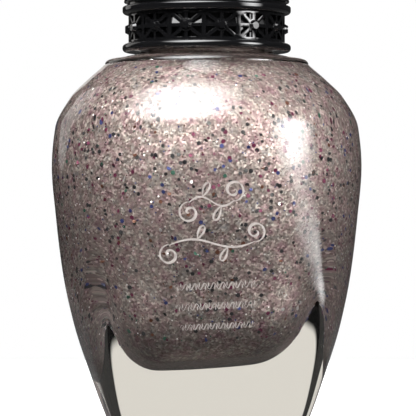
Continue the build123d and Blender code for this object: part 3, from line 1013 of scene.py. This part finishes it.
def glow(name, half_width, half_height, strength, soft, colour):
    """Light that fades towards the edge of an ellipse, and only from the card's front."""
    material = bpy.data.materials.new(name)
    material.use_nodes = True
    tree = material.node_tree
    tree.nodes.clear()
    split = tree.nodes.new("ShaderNodeSeparateXYZ")
    tree.links.new(tree.nodes.new("ShaderNodeTexCoord").outputs["Object"], split.inputs[0])
    squares = []
    for axis, half in (("X", half_width), ("Y", half_height)):
        share = math_node(tree, "ABSOLUTE", math_node(tree, "DIVIDE", split.outputs[axis], half))
        squares.append(math_node(tree, "POWER", share, 2.0))
    reach = math_node(tree, "POWER", math_node(tree, "ADD", *squares), 0.5)
    fade = tree.nodes.new("ShaderNodeMapRange")
    fade.interpolation_type = "SMOOTHSTEP"
    tree.links.new(reach, fade.inputs["Value"])
    fade.inputs["From Min"].default_value = 1 - soft
    fade.inputs["From Max"].default_value = 1.0
    fade.inputs["To Min"].default_value = strength
    fade.inputs["To Max"].default_value = 0.0
    behind = tree.nodes.new("ShaderNodeNewGeometry").outputs["Backfacing"]
    front = math_node(tree, "SUBTRACT", 1.0, behind)
    light = tree.nodes.new("ShaderNodeEmission")
    light.inputs["Color"].default_value = (*colour, 1)
    tree.links.new(math_node(tree, "MULTIPLY", fade.outputs["Result"], front), light.inputs["Strength"])
    out = tree.nodes.new("ShaderNodeOutputMaterial")
    tree.links.new(light.outputs["Emission"], out.inputs["Surface"])
    return material


def glow_card(name, azimuth, elevation, distance, size, strength, soft, colour):
    """A glowing card aimed at the bottle, brightest in the middle, unseen by the camera itself."""
    a, e = math.radians(azimuth), math.radians(elevation)
    away = Vector((math.sin(a) * math.cos(e), -math.cos(a) * math.cos(e), math.sin(e)))
    w, h = size[0] / 2, size[1] / 2
    data = bpy.data.meshes.new(name)
    data.from_pydata([(-w, -h, 0), (w, -h, 0), (w, h, 0), (-w, h, 0)], [], [(0, 1, 2, 3)])
    card = bpy.data.objects.new(name, data)
    bpy.context.scene.collection.objects.link(card)
    card.location = TARGET + away * distance
    card.rotation_euler = away.to_track_quat("-Z", "Y").to_euler()
    data.materials.append(glow(name, w, h, strength, soft, colour))
    card.visible_camera = False


def seen_share(tree, through):
    """1 for what the eye sees directly, through for what it sees straight through the glass, else 0."""
    path = tree.nodes.new("ShaderNodeLightPath").outputs
    bounced = math_node(tree, "ADD", path["Glossy Depth"], path["Diffuse Depth"], clamp=True)
    straight = math_node(tree, "SUBTRACT", path["Is Transmission Ray"], bounced, clamp=True)
    return math_node(tree, "MULTIPLY_ADD", straight, through, path["Is Camera Ray"])


def floor_material():
    """Pale matt floor, bright to the eye and dark in what it sends back up."""
    look = Look("floor_white", Base_Color=(0.85, 0.85, 0.85, 1), Roughness=0.7)
    look.shader.inputs["Emission Color"].default_value = (1, 1, 1, 1)
    look.shader.inputs["Emission Strength"].default_value = 0.3
    dark = look.add("BsdfDiffuse")
    dark.inputs["Color"].default_value = (FLOOR_SHADE, FLOOR_SHADE, FLOOR_SHADE, 1)
    mix = look.add("MixShader")
    look.link(seen_share(look.tree, THROUGH_GLASS), mix.inputs["Fac"])
    look.link(dark.outputs["BSDF"], mix.inputs[1])
    look.link(look.shader.outputs["BSDF"], mix.inputs[2])
    look.link(mix.outputs["Shader"], look.tree.nodes["Material Output"].inputs["Surface"])
    return look.material


def make_floor():
    """A round pale floor."""
    data = bpy.data.meshes.new("floor")
    turns = [2 * math.pi * i / FLOOR_POINTS for i in range(FLOOR_POINTS)]
    rim = [(FLOOR_RADIUS * math.cos(turn), FLOOR_RADIUS * math.sin(turn), 0) for turn in turns]
    data.from_pydata(rim, [], [tuple(range(FLOOR_POINTS))])
    floor = bpy.data.objects.new("floor", data)
    bpy.context.scene.collection.objects.link(floor)
    data.materials.append(floor_material())


def make_surroundings():
    """White to the eye, dark in reflections, and pale through the glass except towards the rear."""
    world = bpy.data.worlds.new("studio")
    bpy.context.scene.world = world
    world.use_nodes = True
    tree = world.node_tree
    dark = tree.nodes["Background"]
    dark.inputs["Color"].default_value = (SURROUNDINGS_SHADE, SURROUNDINGS_SHADE, SURROUNDINGS_SHADE, 1)
    white = tree.nodes.new("ShaderNodeBackground")
    white.inputs["Color"].default_value = (1, 1, 1, 1)
    towards = tree.nodes.new("ShaderNodeSeparateXYZ")
    tree.links.new(tree.nodes.new("ShaderNodeTexCoord").outputs["Generated"], towards.inputs[0])
    pale = tree.nodes.new("ShaderNodeMapRange")
    tree.links.new(towards.outputs["Y"], pale.inputs["Value"])
    pale.inputs["From Min"].default_value = PALE_FROM
    pale.inputs["From Max"].default_value = PALE_TO
    pale.inputs["To Max"].default_value = THROUGH_GLASS
    mix = tree.nodes.new("ShaderNodeMixShader")
    tree.links.new(seen_share(tree, pale.outputs["Result"]), mix.inputs["Fac"])
    tree.links.new(dark.outputs["Background"], mix.inputs[1])
    tree.links.new(white.outputs["Background"], mix.inputs[2])
    tree.links.new(mix.outputs["Shader"], tree.nodes["World Output"].inputs["Surface"])


def make_studio():
    """Plain pale studio: surroundings, floor, two backdrops and two soft boxes."""
    bpy.context.scene.view_settings.view_transform = "Standard"
    make_surroundings()
    make_floor()
    for card in CARDS:
        glow_card(*card)


CAMERA_AZIMUTH = math.radians(-2.4)
CAMERA_DISTANCE = 0.35
CAMERA_Z = 0.023
CAMERA_AIM = Vector((0.00015, 0, 0.027))
VIEW_WIDTH = 0.0449  # of what the picture shows at the bottle's axis
SENSOR_WIDTH = 36


def make_camera():
    """Close in front of the bottle, a little to the left, level with its lower half."""
    data = bpy.data.cameras.new("camera")
    camera = bpy.data.objects.new("camera", data)
    bpy.context.scene.collection.objects.link(camera)
    x, y = math.sin(CAMERA_AZIMUTH) * CAMERA_DISTANCE, -math.cos(CAMERA_AZIMUTH) * CAMERA_DISTANCE
    camera.location = (x, y, CAMERA_Z)
    camera.rotation_euler = (CAMERA_AIM - camera.location).to_track_quat("-Z", "Y").to_euler()
    data.lens = SENSOR_WIDTH * CAMERA_DISTANCE / VIEW_WIDTH
    data.clip_start, data.clip_end = 0.01, 20
    bpy.context.scene.camera = camera


make_camera()
make_studio()
make_glass()
make_lacquer()
make_glitter()
make_print()
make_cap()
make_brush()
finish_small_parts()
